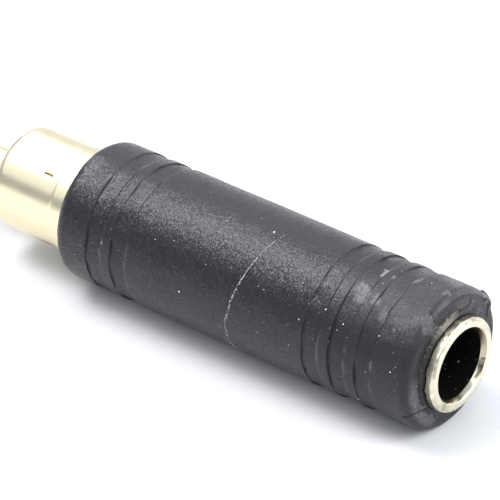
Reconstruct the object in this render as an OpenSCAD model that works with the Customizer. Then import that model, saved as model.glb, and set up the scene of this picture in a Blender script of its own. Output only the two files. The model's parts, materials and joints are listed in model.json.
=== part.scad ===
// Audio jack adapter: a 6.35 mm jack socket at one end, a phono plug at the other,
// moulded into one round grip. It lies on its side on the surface Z = 0, with the
// mouth of the socket facing +X and the pin of the plug pointing to -X.
// Every length is in millimetres. Depths are measured from the mouth of the socket.

/* [Grip] */
// Wall of the moulded grip over the inner sleeve
grip_wall = 1.1; // [0.8:0.05:2]
// Rounding of the grip's edge at the socket
mouth_edge_r = 0.9; // [0.4:0.05:1.4]
// Rounding of the grip's edge at the plug
plug_edge_r = 1.2; // [0.4:0.05:1.3]
// Number of grooves next to the socket
mouth_grooves = 3; // [1:1:4]
// Number of grooves next to the plug
plug_grooves = 2; // [1:1:4]
// Width of a groove
groove_w = 1.65; // [0.8:0.05:2]
// Land between two grooves
groove_land = 1.15; // [0.6:0.05:2]
// Depth of a groove
groove_depth = 0.22; // [0.1:0.02:0.4]
// Plain band between an end of the grip and the first groove
end_band = 3.9; // [2:0.1:5]

/* [Bushing] */
// Bore for the jack plug
bore_d = 6.5; // [6.4:0.05:6.8]
// Height of the bushing in front of the grip
ring_proud = 1.1; // [0.6:0.1:2]
// Rounding of the bushing's outer edge
ring_edge_r = 0.3; // [0.1:0.05:0.4]
// Flare at the mouth of the bore
lead_in = 0.25; // [0.1:0.05:0.4]
// Depth of the metal lip in front of the liner
lip_len = 0.55; // [0.5:0.05:1.5]
// Wall of the bushing around the liner
skirt_wall = 0.5; // [0.4:0.05:0.7]
// Length of the bushing behind its collar
skirt_len = 4.8; // [3.5:0.1:6]
// Width of the collar that locks the bushing in the grip
collar_w = 1; // [0.6:0.1:1.5]
// Height of the collar over the skirt
collar_h = 0.7; // [0.3:0.05:0.9]
// Height of the two flats on the collar over the skirt
collar_flat = 0.3; // [0.1:0.05:0.3]
// Grip material in front of the collar
collar_cover = 2.1; // [1:0.1:3]

/* [Socket liner and sleeve] */
// Wall of the liner inside the bushing
liner_wall = 0.55; // [0.5:0.05:0.8]
// Length of the plain bore in the liner
plain_bore = 12.5; // [11:0.1:12.8]
// Radial relief of the contact chamber behind the plain bore
relief = 0.25; // [0.1:0.05:0.35]
// Depth of the contact chamber's floor
socket_depth = 31.6; // [31.5:0.1:34]
// Thickness of the liner's end wall
end_wall = 2.2; // [1.8:0.1:3]
// Wall of the sleeve around the liner
sleeve_wall = 1.1; // [0.8:0.05:1.5]
// Space for the wiring between the liner and the plug
wiring_gap = 2.5; // [2.3:0.1:6]

/* [Contacts] */
// Thickness of the spring leaves and of the ground strap
leaf_t = 0.3; // [0.2:0.05:0.35]
// Width of the spring leaves
leaf_w = 2.6; // [2:0.1:3.2]
// Width of the ground strap
strap_w = 2; // [1.5:0.1:2.6]
// Depth of the flats on which the leaves and the strap lie
seat_cut = 0.2; // [0.1:0.05:0.3]
// Clearance around a leaf or the strap
leaf_gap = 0.15; // [0.1:0.05:0.3]
// Distance of the ground spring's contact point behind the plain bore
ground_in = 4.45; // [4.3:0.05:5.8]
// Distance of the tip spring's contact point in front of the chamber's floor
tip_back = 4.1; // [4:0.1:5.6]
// How far the ground spring stands inside the bore
ground_reach = 0.35; // [0.1:0.05:0.5]
// How far the tip spring stands inside the bore
tip_reach = 0.65; // [0.3:0.05:0.9]
// Length of a spring between its bend and its contact point
leaf_run = 3.8; // [3:0.1:3.8]
// Length of a spring beyond its contact point
leaf_nose = 2.8; // [2:0.1:3.2]
// Plain length of the ground spring on the bushing
ground_foot = 4; // [2:0.1:4.4]
// Diameter of the rivet's shank
rivet_d = 1.2; // [0.8:0.1:1.4]
// Diameter of the rivet's head
rivet_head_d = 2.2; // [1.8:0.1:2.4]
// Height of the rivet's head
rivet_head_h = 0.3; // [0.2:0.05:0.4]
// Length of the rivet's shank under the leaf
rivet_len = 1.4; // [0.8:0.1:2]
// Diameter of the wire between the tip spring and the pin
wire_d = 0.8; // [0.5:0.05:0.9]
// Gap between the wire and the liner's end
wire_gap = 0.3; // [0.2:0.05:0.5]
// Radius of the ball of solder at the tip spring
solder_r = 0.65; // [0.55:0.05:0.7]
// Length of a solder wedge
solder_len = 0.8; // [0.4:0.1:1]

/* [Phono plug] */
// Bore of the plug's shell
shell_bore_d = 8.4; // [8.3:0.05:8.8]
// Wall of the plug's shell
shell_wall = 0.7; // [0.5:0.05:0.9]
// Length of the shell behind the grip
shell_len = 9; // [8:0.1:10]
// Rounding of the shell's rim
rim_r = 1.1; // [0.5:0.05:1.5]
// Width of the band at the foot of the shell
foot_w = 1.75; // [1:0.05:2.4]
// Height of the band over the leaves of the shell
foot_h = 0.12; // [0.05:0.01:0.2]
// Number of slots in the shell
slot_count = 4; // [3:1:6]
// Width of a slot
slot_w = 0.45; // [0.3:0.05:1]
// Length of a slot from the rim
slot_len = 6.45; // [4:0.05:6.6]
// Turn of the first slot, measured from the top towards +Y
slot_turn = -40; // [-90:5:90]
// Length of the shell's spigot inside the grip
spigot_len = 4; // [3.6:0.1:6]
// Wall of the spigot
spigot_wall = 0.9; // [0.6:0.05:1.1]
// Width of the spigot's locking collar
lock_w = 1; // [0.6:0.1:1.4]
// Height of the spigot's locking collar
lock_h = 0.6; // [0.3:0.05:0.9]
// Grip material behind the locking collar
lock_cover = 1.7; // [1:0.1:2]
// Depth of the insulator's face inside the rim
insulator_at = 6.7; // [6.5:0.1:7.4]
// Thickness of the insulator's flange
flange_t = 1.3; // [0.8:0.1:1.5]
// Diameter of the pin
pin_d = 3.2; // [3.1:0.05:3.3]
// Length of the pin beyond the rim
pin_proud = 7.5; // [6:0.1:9]
// Rounding of the pin's tip
pin_tip_r = 1.2; // [0.8:0.05:1.5]
// Diameter of the pin's neck inside the insulator
pin_neck_d = 2.6; // [2.2:0.1:2.8]
// Diameter of the pin's locking ring inside the insulator
pin_ring_d = 4.4; // [3.8:0.1:5]
// Width of the pin's locking ring
pin_ring_w = 1; // [0.6:0.1:1.2]
// Depth of the pin's locking ring inside the insulator
pin_ring_in = 2.3; // [1.5:0.1:2.5]
// Diameter of the pin's tail
tail_d = 2; // [1.8:0.1:2.4]
// Length of the tail in front of the insulator
tail_out = 0.7; // [0.4:0.1:0.9]
// Diameter of the solder cup in the tail
cup_d = 1.3; // [1:0.05:1.4]
// Depth of the solder cup
cup_len = 1.2; // [1:0.1:1.6]

/* [Hidden] */
$fn = 96;
// Length by which a cut runs past the surface it starts from
over = 1;
// Number of steps in a bent stretch of a spring
bend_steps = 8;

// Radii, from the bore outwards
bore_r = bore_d / 2;
chamber_r = bore_r + relief;
nose_r = bore_r + liner_wall;
ring_r = nose_r + skirt_wall;
sleeve_r = ring_r + sleeve_wall;
grip_r = sleeve_r + grip_wall;
seat_r = ring_r - seat_cut;
shell_bore_r = shell_bore_d / 2;
shell_r = shell_bore_r + shell_wall;
foot_r = shell_r + foot_h;
spigot_bore_r = ring_r - spigot_wall;
pin_r = pin_d / 2;

// Depths, from the mouth backwards
collar_at = ring_proud + collar_cover;
sleeve_at = collar_at + collar_w;
skirt_end = sleeve_at + skirt_len;
chamber_at = lip_len + plain_bore;
liner_end = socket_depth + end_wall;
spigot_at = liner_end + wiring_gap;
grip_end = spigot_at + spigot_len;
lock_end = grip_end - lock_cover;
lock_at = lock_end - lock_w;
rim_at = grip_end + shell_len;
face_at = rim_at - insulator_at;
flange_at = face_at - flange_t;
tip_end = rim_at + pin_proud;
ring_in_at = spigot_at + pin_ring_in;
tail_at = spigot_at - tail_out;
wire_at = liner_end + wire_gap + wire_d / 2;
ground_at = chamber_at + ground_in;
tip_at = socket_depth - tip_back;
ground_bend = ground_at - leaf_run;
ground_from = skirt_end - ground_foot;
tip_bend = tip_at + leaf_run;
tip_tail = wire_at + solder_r;
rivet_at = (socket_depth + liner_end) / 2;
strap_from = ground_from + solder_len;
strap_to = lock_at - solder_len - leaf_gap;

// Place of the local frame in the part: its Z runs along the depth, its X points up
mouth_x = tip_end / 2;
axis_z = grip_r;

module lying() {
    translate([mouth_x, 0, axis_z]) rotate([0, -90, 0]) children();
}

// Solid of revolution between two depths
module disc(r, from, to) {
    translate([0, 0, from]) cylinder(r = r, h = to - from);
}

// Flat outline [radius, depth], given a width across the plane Y = 0
module across(w) {
    rotate([90, 0, 0]) linear_extrude(height = w, center = true) children();
}

// Block above the plane X = at, centred on Y = 0, between two depths
module block(at, h, w, from, to) {
    translate([at, -w / 2, from]) cube([h, w, to - from]);
}

// Side of the axis on which each of the three contact rails lies
module top_side() { children(); }
module under_side() { rotate([0, 0, 180]) children(); }
module strap_side() { rotate([0, 0, 90]) children(); }

// Outline of a strip of constant thickness along a list of [radius, depth] points
function step_dir(p, i) =
    let (a = p[max(i - 1, 0)], b = p[min(i + 1, len(p) - 1)])
    (b - a) / norm(b - a);
function strip_side(p, offset) =
    [for (i = [0 : len(p) - 1])
        let (d = step_dir(p, i))
        p[i] + offset * [-d[1], d[0]]];
function strip_outline(p, t) =
    let (a = strip_side(p, t / 2), b = strip_side(p, -t / 2))
    concat(a, [for (i = [len(b) - 1 : -1 : 0]) b[i]]);

// Middle line of a spring leaf: flat foot, smooth dip to the contact point, raised nose
function dip(from_r, to_r, from, to) =
    [for (i = [1 : bend_steps])
        let (u = i / bend_steps)
        [from_r + (to_r - from_r) * (1 - cos(180 * u)) / 2, from + (to - from) * u]];
function leaf_line(foot, bend, contact, reach) =
    let (side = sign(contact - bend),
        rest_r = seat_r + leaf_t / 2,
        low_r = bore_r - reach + leaf_t / 2,
        nose_rise_r = (chamber_r + seat_r) / 2)
    concat([[rest_r, foot], [rest_r, bend]],
        dip(rest_r, low_r, bend, contact),
        dip(low_r, nose_rise_r, contact, contact + side * leaf_nose));

// Windows of the two springs: [first depth, last depth]
ground_window = [ground_bend - leaf_gap, ground_at + leaf_nose + leaf_gap];
tip_window = [tip_at - leaf_nose - leaf_gap, tip_bend + leaf_gap];

// Seat on which a rail lies, cut off the outside of a round piece
module seat(w, from, to) {
    block(seat_r, ring_r, w + 2 * leaf_gap, from, to);
}

// Outer form of the grip with its rounded edges, as a half section
module grip_section() {
    translate([0, ring_proud + mouth_edge_r])
        square([grip_r, grip_end - ring_proud - mouth_edge_r - plug_edge_r]);
    translate([0, ring_proud]) square([grip_r - mouth_edge_r, mouth_edge_r]);
    translate([0, grip_end - plug_edge_r]) square([grip_r - plug_edge_r, plug_edge_r]);
    translate([grip_r - mouth_edge_r, ring_proud + mouth_edge_r]) circle(r = mouth_edge_r);
    translate([grip_r - plug_edge_r, grip_end - plug_edge_r]) circle(r = plug_edge_r);
}

// A row of groove sections that starts at a depth and steps in one direction
module groove_row(count, at, direction) {
    for (i = [0 : count - 1])
        translate([grip_r - groove_depth, at + direction * i * (groove_w + groove_land)])
            square([groove_depth + over, groove_w]);
}

// Outer form of the bushing: ring, collar with two flats, skirt
module bushing_form() {
    rotate_extrude() {
        translate([0, ring_edge_r]) square([ring_r, skirt_end - ring_edge_r]);
        square([ring_r - ring_edge_r, ring_edge_r]);
        translate([ring_r - ring_edge_r, ring_edge_r]) circle(r = ring_edge_r);
    }
    intersection() {
        disc(ring_r + collar_h, collar_at, sleeve_at);
        translate([-sleeve_r, -ring_r - collar_flat, collar_at])
            cube([2 * sleeve_r, 2 * (ring_r + collar_flat), collar_w]);
    }
}

// Outer form of the part of the plug's shell that the grip holds
module spigot_form() {
    disc(ring_r, spigot_at, grip_end);
    disc(ring_r + lock_h, lock_at, lock_end);
}

module grip_overmould() {
    color([0.13, 0.13, 0.14]) lying() difference() {
        rotate_extrude() difference() {
            grip_section();
            groove_row(mouth_grooves, ring_proud + end_band, 1);
            groove_row(plug_grooves, grip_end - end_band - groove_w, -1);
        }
        bushing_form();
        disc(sleeve_r, sleeve_at, lock_at);
        spigot_form();
        disc(ring_r, spigot_at, grip_end + over);
    }
}

module jack_bushing() {
    color([0.9, 0.82, 0.55]) lying() difference() {
        bushing_form();
        translate([0, 0, -over]) cylinder(r = bore_r, h = lip_len + 2 * over);
        cylinder(r1 = bore_r + lead_in, r2 = bore_r, h = lead_in);
        disc(nose_r, lip_len, skirt_end + over);
        under_side() seat(leaf_w, sleeve_at, skirt_end + over);
        strap_side() seat(strap_w, sleeve_at, skirt_end + over);
    }
}

module socket_liner() {
    color([0.1, 0.1, 0.1]) lying() difference() {
        union() {
            disc(nose_r, lip_len, skirt_end);
            disc(ring_r, skirt_end, liner_end);
        }
        disc(bore_r, lip_len - over, chamber_at);
        disc(chamber_r, chamber_at, socket_depth);
        under_side() seat(leaf_w, skirt_end, ground_window[1]);
        under_side() block(0, grip_r, leaf_w + 2 * leaf_gap, ground_window[0], ground_window[1]);
        top_side() seat(leaf_w, tip_window[0], liner_end + over);
        top_side() block(0, grip_r, leaf_w + 2 * leaf_gap, tip_window[0], tip_window[1]);
        strap_side() seat(strap_w, skirt_end, liner_end + over);
        top_side() translate([seat_r - rivet_len, 0, rivet_at]) rotate([0, 90, 0])
            cylinder(d = rivet_d, h = rivet_len + over);
    }
}

module inner_sleeve() {
    rail_h = seat_r + leaf_t + leaf_gap;
    color([0.85, 0.84, 0.8]) lying() difference() {
        disc(sleeve_r, sleeve_at, lock_at);
        disc(ring_r, sleeve_at - over, lock_at + over);
        under_side() block(0, rail_h, leaf_w + 2 * leaf_gap, sleeve_at - over, ground_window[1]);
        strap_side() block(0, rail_h, strap_w + 2 * leaf_gap, sleeve_at - over, lock_at + over);
        top_side() block(0, rail_h + rivet_head_h, leaf_w + 2 * leaf_gap, tip_window[0], lock_at + over);
    }
}

module ground_spring() {
    color([0.85, 0.68, 0.42]) lying() under_side() across(leaf_w)
        polygon(strip_outline(leaf_line(ground_from, ground_bend, ground_at, ground_reach), leaf_t));
}

module tip_spring() {
    color([0.85, 0.68, 0.42]) lying() top_side() difference() {
        across(leaf_w)
            polygon(strip_outline(leaf_line(tip_tail, tip_bend, tip_at, tip_reach), leaf_t));
        translate([seat_r - over, 0, rivet_at]) rotate([0, 90, 0])
            cylinder(d = rivet_d, h = leaf_t + 2 * over);
    }
}

module tip_rivet() {
    color([0.75, 0.74, 0.7]) lying() top_side() translate([0, 0, rivet_at]) rotate([0, 90, 0]) {
        disc(rivet_d / 2, seat_r - rivet_len, seat_r + leaf_t);
        disc(rivet_head_d / 2, seat_r + leaf_t, seat_r + leaf_t + rivet_head_h);
    }
}

module ground_strap() {
    color([0.8, 0.5, 0.34]) lying() strap_side()
        block(seat_r, leaf_t, strap_w, strap_from, strap_to);
}

// Wire from under the tip spring down to the axis and along it into the pin's cup
module wire_form() {
    disc(wire_d / 2, wire_at, tail_at + cup_len);
    translate([0, 0, wire_at]) sphere(d = wire_d);
    translate([0, 0, wire_at]) rotate([0, 90, 0]) cylinder(d = wire_d, h = seat_r);
}

module tip_wire() {
    color([0.78, 0.76, 0.72]) lying() wire_form();
}

module phono_shell() {
    color([0.9, 0.82, 0.55]) lying() difference() {
        union() {
            spigot_form();
            disc(foot_r, grip_end, grip_end + foot_w);
            rotate_extrude() {
                translate([0, grip_end]) square([shell_r, shell_len - rim_r]);
                translate([0, rim_at - rim_r]) square([shell_r - rim_r, rim_r]);
                translate([shell_r - rim_r, rim_at - rim_r]) circle(r = rim_r);
            }
        }
        disc(spigot_bore_r, spigot_at - over, rim_at);
        disc(shell_bore_r, flange_at, rim_at + over);
        for (i = [0 : slot_count - 1])
            rotate([0, 0, slot_turn + i * 360 / slot_count])
                block(0, foot_r + over, slot_w, rim_at - slot_len, rim_at + over);
        strap_side() seat(strap_w, spigot_at - over, lock_at);
    }
}

// The pin with its locking ring and its tail, without the solder cup
module pin_form() {
    rotate_extrude() {
        translate([0, face_at]) square([pin_r, tip_end - pin_tip_r - face_at]);
        translate([0, tip_end - pin_tip_r]) square([pin_r - pin_tip_r, pin_tip_r]);
        translate([0, ring_in_at]) square([pin_neck_d / 2, face_at - ring_in_at]);
        translate([0, ring_in_at]) square([pin_ring_d / 2, pin_ring_w]);
        translate([0, tail_at]) square([tail_d / 2, ring_in_at - tail_at]);
        translate([pin_r - pin_tip_r, tip_end - pin_tip_r]) intersection() {
            circle(r = pin_tip_r);
            square([pin_tip_r, pin_tip_r]);
        }
    }
}

module phono_insulator() {
    color([0.14, 0.14, 0.14]) lying() difference() {
        union() {
            disc(spigot_bore_r, spigot_at, flange_at);
            disc(shell_bore_r, flange_at, face_at);
        }
        pin_form();
    }
}

module phono_pin() {
    color([0.9, 0.82, 0.55]) lying() difference() {
        pin_form();
        disc(cup_d / 2, tail_at - over, tail_at + cup_len);
    }
}

// Wedge of solder against the end of a rail: it falls away in the given direction
module solder_wedge(w, at, direction) {
    across(w) polygon([
        [seat_r, at],
        [seat_r + leaf_t, at],
        [seat_r, at + direction * solder_len]
    ]);
}

module solder_ground_spring() {
    color([0.7, 0.7, 0.72]) lying() under_side() solder_wedge(leaf_w, ground_from, -1);
}

module solder_strap_front() {
    color([0.7, 0.7, 0.72]) lying() strap_side() solder_wedge(strap_w, strap_from, -1);
}

module solder_strap_rear() {
    color([0.7, 0.7, 0.72]) lying() strap_side() solder_wedge(strap_w, strap_to, 1);
}

module solder_tip_tail() {
    color([0.7, 0.7, 0.72]) lying() top_side() difference() {
        intersection() {
            translate([seat_r, 0, wire_at]) sphere(r = solder_r);
            block(0, seat_r, leaf_w, liner_end, spigot_at);
        }
        wire_form();
    }
}

module solder_pin_cup() {
    color([0.7, 0.7, 0.72]) lying() difference() {
        disc(cup_d / 2, tail_at, tail_at + cup_len);
        wire_form();
    }
}

grip_overmould();
jack_bushing();
socket_liner();
inner_sleeve();
ground_spring();
tip_spring();
tip_rivet();
ground_strap();
tip_wire();
phono_shell();
phono_insulator();
phono_pin();
solder_ground_spring();
solder_strap_front();
solder_strap_rear();
solder_tip_tail();
solder_pin_cup();
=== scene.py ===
"""Looks of an audio jack adapter that lies on a pale table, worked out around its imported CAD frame.

Sizes are in millimetres until place() turns them into the frame's metres. A point is given by its depth
behind the mouth of the socket, its radius from the axis and its angle from +Y towards +Z, in degrees.
"""
import json
import math

import bpy
import numpy as np
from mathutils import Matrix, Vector


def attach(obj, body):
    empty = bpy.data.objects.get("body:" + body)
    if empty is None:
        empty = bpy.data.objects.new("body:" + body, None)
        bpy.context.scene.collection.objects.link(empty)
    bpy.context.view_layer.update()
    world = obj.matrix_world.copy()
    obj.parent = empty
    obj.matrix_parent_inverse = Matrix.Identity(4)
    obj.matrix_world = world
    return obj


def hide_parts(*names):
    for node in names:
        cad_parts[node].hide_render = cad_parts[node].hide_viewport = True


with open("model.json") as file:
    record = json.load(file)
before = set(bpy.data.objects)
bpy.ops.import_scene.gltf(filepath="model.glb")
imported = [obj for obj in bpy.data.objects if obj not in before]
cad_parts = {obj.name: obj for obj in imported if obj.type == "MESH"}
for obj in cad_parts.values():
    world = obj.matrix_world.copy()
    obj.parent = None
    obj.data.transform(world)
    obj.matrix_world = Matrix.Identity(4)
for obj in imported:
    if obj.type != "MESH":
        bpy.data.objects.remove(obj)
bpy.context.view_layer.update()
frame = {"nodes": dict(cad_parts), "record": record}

MM = 0.001


def ends(node):
    """Low and high corner of a solid's box in the frame, in millimetres."""
    corners = np.array([node.matrix_world @ Vector(corner) for corner in node.bound_box]) / MM
    return np.round(corners.min(axis=0), 3), np.round(corners.max(axis=0), 3)


# Places and outer sizes of the solids, from the frame's meshes, whose facets lie up to 0.08 mm inside the
# round surfaces
grip_low, grip_high = ends(frame["nodes"]["grip_overmould"])
ring_low, ring_high = ends(frame["nodes"]["jack_bushing"])
shell_low, shell_high = ends(frame["nodes"]["phono_shell"])
MOUTH_X = ring_high[0]
AXIS_Z = (grip_low[2] + grip_high[2]) / 2
GRIP_R = (grip_high[2] - grip_low[2]) / 2
GRIP_FRONT = MOUTH_X - grip_high[0]
GRIP_END = MOUTH_X - grip_low[0]
SKIRT_END = MOUTH_X - ring_low[0]
SPIGOT_AT = MOUTH_X - shell_high[0]
RIM_AT = MOUTH_X - shell_low[0]

# Driving sizes of the solids, as in the part's source
GRIP_WALL, MOUTH_EDGE_R, PLUG_EDGE_R = 1.1, 0.9, 1.2
GROOVE_W, GROOVE_LAND, GROOVE_DEPTH, END_BAND = 1.65, 1.15, 0.22, 3.9
MOUTH_GROOVES, PLUG_GROOVES = 3, 2
BORE_D, LEAD_IN, LIP_LEN = 6.5, 0.25, 0.55
LINER_WALL, SKIRT_WALL, SLEEVE_WALL = 0.55, 0.5, 1.1
COLLAR_COVER, COLLAR_W, COLLAR_H, COLLAR_FLAT = 2.1, 1.0, 0.7, 0.3
SEAT_CUT, LEAF_W, STRAP_W, LEAF_GAP = 0.2, 2.6, 2.0, 0.15
SHELL_BORE_D, SHELL_WALL, SHELL_LEN, RIM_R = 8.4, 0.7, 9.0, 1.1
FOOT_W, FOOT_H = 1.75, 0.12
SLOT_COUNT, SLOT_W, SLOT_LEN, SLOT_TURN = 4, 0.45, 6.45, -40.0
SPIGOT_WALL, LOCK_W, LOCK_H, LOCK_COVER = 0.9, 1.0, 0.6, 1.7
INSULATOR_AT, FLANGE_T = 6.7, 1.3


def exact(*values):
    """Lengths and angles that are worked out, without what the sums leave in their last digits."""
    return [round(float(value), 3) for value in values]


# Radii, from the bore outwards. HULL_R is the grip's as it was drawn, and GRIP_R that of its facets.
BORE_R, LINER_R, RING_R = exact(BORE_D / 2, BORE_D / 2 + LINER_WALL, BORE_D / 2 + LINER_WALL + SKIRT_WALL)
SEAT_R, FLAT_R, COLLAR_R = exact(RING_R - SEAT_CUT, RING_R + COLLAR_FLAT, RING_R + COLLAR_H)
SLEEVE_R, HULL_R = exact(RING_R + SLEEVE_WALL, RING_R + SLEEVE_WALL + GRIP_WALL)
LOCK_R, SPIGOT_BORE_R = exact(RING_R + LOCK_H, RING_R - SPIGOT_WALL)
SHELL_BORE_R, SHELL_R, FOOT_R = exact(SHELL_BORE_D / 2, SHELL_BORE_D / 2 + SHELL_WALL,
                                      SHELL_BORE_D / 2 + SHELL_WALL + FOOT_H)

# Depths from the mouth backwards, and the turn of each slot
COLLAR_AT, COLLAR_END = exact(GRIP_FRONT + COLLAR_COVER, GRIP_FRONT + COLLAR_COVER + COLLAR_W)
LOCK_AT, LOCK_END = exact(GRIP_END - LOCK_COVER - LOCK_W, GRIP_END - LOCK_COVER)
FOOT_END, SLOT_END = exact(GRIP_END + FOOT_W, GRIP_END + SHELL_LEN - SLOT_LEN)
FLANGE_AT = round(GRIP_END + SHELL_LEN - INSULATOR_AT - FLANGE_T, 3)
GROOVE_STEP = GROOVE_W + GROOVE_LAND
GROOVES = exact(*[GRIP_FRONT + END_BAND + GROOVE_STEP * i for i in range(MOUTH_GROOVES)],
                *[GRIP_END - END_BAND - GROOVE_W - GROOVE_STEP * i for i in reversed(range(PLUG_GROOVES))])
SLOT_ANGLES = exact(*[(90 - SLOT_TURN + 360 / SLOT_COUNT * i) % 360 for i in range(SLOT_COUNT)])


# Points and meshes

def place(depth, radius, angle):
    """World points in metres: x falls with the depth, y and z turn round the axis by the angle in degrees."""
    turn = np.radians(angle)
    return np.stack(np.broadcast_arrays((MOUTH_X - depth) * MM, radius * np.cos(turn) * MM,
                                        (AXIS_Z + radius * np.sin(turn)) * MM), axis=-1)


def smooth(low, high, value):
    """0 below low, 1 above high, and the cubic 3t^2 - 2t^3 between them."""
    t = np.clip((value - low) / (high - low), 0, 1)
    return t * t * (3 - 2 * t)


def near(value, middle, width):
    """Bell curve exp(-(distance / width)^2) around a middle."""
    return np.exp(-((value - middle) / width) ** 2)


def band(value, low, full, fade, high):
    """1 from full to fade, falling off smoothly to 0 at low and at high."""
    return smooth(low, full, value) * (1 - smooth(fade, high, value))


def turned(angle, middle):
    """Signed difference of two angles in degrees, between -180 and 180."""
    return (angle - middle + 180) % 360 - 180


def off(angle, middle, radius):
    """Distance in millimetres from a middle angle, along the circle of a radius."""
    return np.radians(turned(angle, middle)) * radius


def ripple(points, wavelength, seed, waves=24):
    """Smooth random field of unit size: a sum of plane waves of random direction, length and phase."""
    rng = np.random.default_rng(seed)
    ways = rng.normal(size=(waves, 3))
    ways /= np.linalg.norm(ways, axis=1)[:, None]
    rates = 2 * np.pi / (wavelength * MM * rng.uniform(0.7, 1.5, waves))
    phases = rng.uniform(0, 2 * np.pi, waves)
    return np.sin(points @ (ways * rates[:, None]).T + phases).sum(axis=-1) / math.sqrt(waves / 2)


def build(name, points, faces, outline=None):
    """Mesh object from points and quads or triangles. The sign of its volume turns its faces outwards."""
    corners = points[faces]
    spread = corners - corners.mean(axis=(0, 1))
    volume = sum(np.einsum("ij,ij->i", spread[:, 0], np.cross(spread[:, k], spread[:, k + 1])).sum()
                 for k in range(1, faces.shape[1] - 1))
    if volume < 0:
        faces = faces[:, ::-1]
        outline = None if outline is None else outline[:, ::-1]
    mesh = bpy.data.meshes.new(name)
    mesh.from_pydata(points, [], faces.tolist())
    mesh.polygons.foreach_set("use_smooth", np.ones(len(faces), bool))
    if outline is not None:
        layer = mesh.uv_layers.new(name="skin")
        layer.data.foreach_set("uv", outline.reshape(-1))
    mesh.update()
    piece = bpy.data.objects.new(name, mesh)
    bpy.context.collection.objects.link(piece)
    return piece


def loop_faces(rows, columns, close_rows=True):
    """Quads of a grid that is closed along its columns, and along its rows where asked."""
    i, j = np.meshgrid(np.arange(rows if close_rows else rows - 1), np.arange(columns), indexing="ij")
    i2, j2 = (i + 1) % rows, (j + 1) % columns
    return np.stack([i * columns + j, i * columns + j2, i2 * columns + j2, i2 * columns + j],
                    axis=-1).reshape(-1, 4)


def loop_outline(lengths, angles, radius):
    """Flat coordinates of each quad's corners: length along the section, and arc length round the axis."""
    s = np.append(lengths, lengths[-1] + 0.1)
    a = np.append(angles, angles[0] + 360) * math.pi / 180 * radius
    i, j = np.meshgrid(np.arange(len(lengths)), np.arange(len(angles)), indexing="ij")
    corners = [(i, j), (i, j + 1), (i + 1, j + 1), (i + 1, j)]
    return np.stack([np.stack([s[p], a[q]], axis=-1) for p, q in corners], axis=2).reshape(-1, 4, 2)


def mark(piece, name, values):
    """Puts one number per vertex on a piece, for its material to read."""
    piece.data.attributes.new(name, "FLOAT", "POINT").data.foreach_set(
        "value", np.ravel(values).astype(np.float32))


def arc(depth, radius, size, start, stop, steps):
    """Points [depth, radius] of a rounding about a centre, from one angle to another, in degrees from the
    depth axis."""
    t = np.radians(np.linspace(start, stop, steps))
    return np.stack([depth + size * np.cos(t), radius + size * np.sin(t)], axis=-1)


def line(start, stop, step):
    """Points [depth, radius] of a straight stretch, without its last one."""
    start, stop = np.array(start, float), np.array(stop, float)
    count = max(int(np.linalg.norm(stop - start) / step), 1)
    return start + (stop - start) * (np.arange(count) / count)[:, None]


def run(section):
    """Length along a section, up to each of its points."""
    return np.concatenate([[0], np.cumsum(np.linalg.norm(np.diff(section, axis=0), axis=1))])


def ride(piece, slot, *nodes, finish=None):
    """Puts a piece on the one body, hides the CAD nodes that it stands for, if any, and gives it the finish
    of its slot unless another is given."""
    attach(piece, "root")
    if nodes:
        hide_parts(*nodes)
    piece.data.materials.append(finish or FINISHES[slot])


# Materials

class Value:
    """A socket whose arithmetic adds Math nodes to its graph."""

    def __init__(self, graph, socket):
        self.graph, self.socket = graph, socket

    def _maths(self, operation, *values):
        return self.graph.node("ShaderNodeMath", {"operation": operation}, dict(enumerate(values)))

    def __add__(self, other):
        return self._maths("ADD", self, other)

    def __radd__(self, other):
        return self._maths("ADD", other, self)

    def __sub__(self, other):
        return self._maths("SUBTRACT", self, other)

    def __rsub__(self, other):
        return self._maths("SUBTRACT", other, self)

    def __mul__(self, other):
        return self._maths("MULTIPLY", self, other)

    def __rmul__(self, other):
        return self._maths("MULTIPLY", other, self)


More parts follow.
